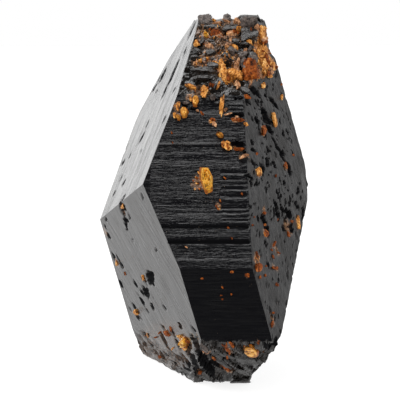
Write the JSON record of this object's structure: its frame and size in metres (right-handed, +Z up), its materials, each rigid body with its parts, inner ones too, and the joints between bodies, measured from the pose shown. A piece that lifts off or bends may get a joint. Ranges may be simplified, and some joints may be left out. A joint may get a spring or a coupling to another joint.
{
  "type": "tourmaline crystal",
  "caption": "Stout black tourmaline crystal with striated prism faces, pyramid ends, angular pits and mica and ochre grains, standing on its broken base.",
  "frame": {"origin": "on the floor plane under the middle of the crystal's box, which is the plane of the broken base", "axes": "+X along the crystal's c axis toward its right end, -Y toward the striated front faces, +Z up from the broken base"},
  "size_m": [0.0376, 0.0654, 0.061],
  "materials": {
    "tourmaline_black": "gloss",
    "mica_gold": "gloss",
    "ochre": "matte",
    "iron_brown": "matte"
  },
  "bodies": {
    "root": {"tourmaline_crystal": "tourmaline_black", "mica_book_centre": "mica_gold", "mica_blade_crest": "mica_gold", "mica_plate_left": "mica_gold", "mica_plate_outer": "mica_gold", "mica_plate_upper": "mica_gold", "mica_flake_middle": "mica_gold", "mica_flake_small": "mica_gold", "mica_book_lower_left": "mica_gold", "mica_leaf_base": "mica_gold", "mica_flake_top": "mica_gold", "ochre_mass_centre": "ochre", "ochre_mass_edge": "ochre", "iron_block_crest": "iron_brown", "ochre_slab_crest": "ochre", "ochre_grain_crest": "ochre", "iron_chain_front": "iron_brown", "iron_patch_front": "iron_brown", "ochre_grain_right_high": "ochre", "ochre_grain_right_upper": "ochre", "iron_grain_right_upper": "iron_brown", "iron_grain_right_middle": "iron_brown", "iron_grain_right_lower": "iron_brown", "iron_grain_corner": "iron_brown", "iron_grain_right_foot": "iron_brown", "iron_lump_base": "iron_brown", "ochre_grain_left_foot": "ochre", "ochre_grain_left_rim": "ochre"}
  },
  "joints": []
}
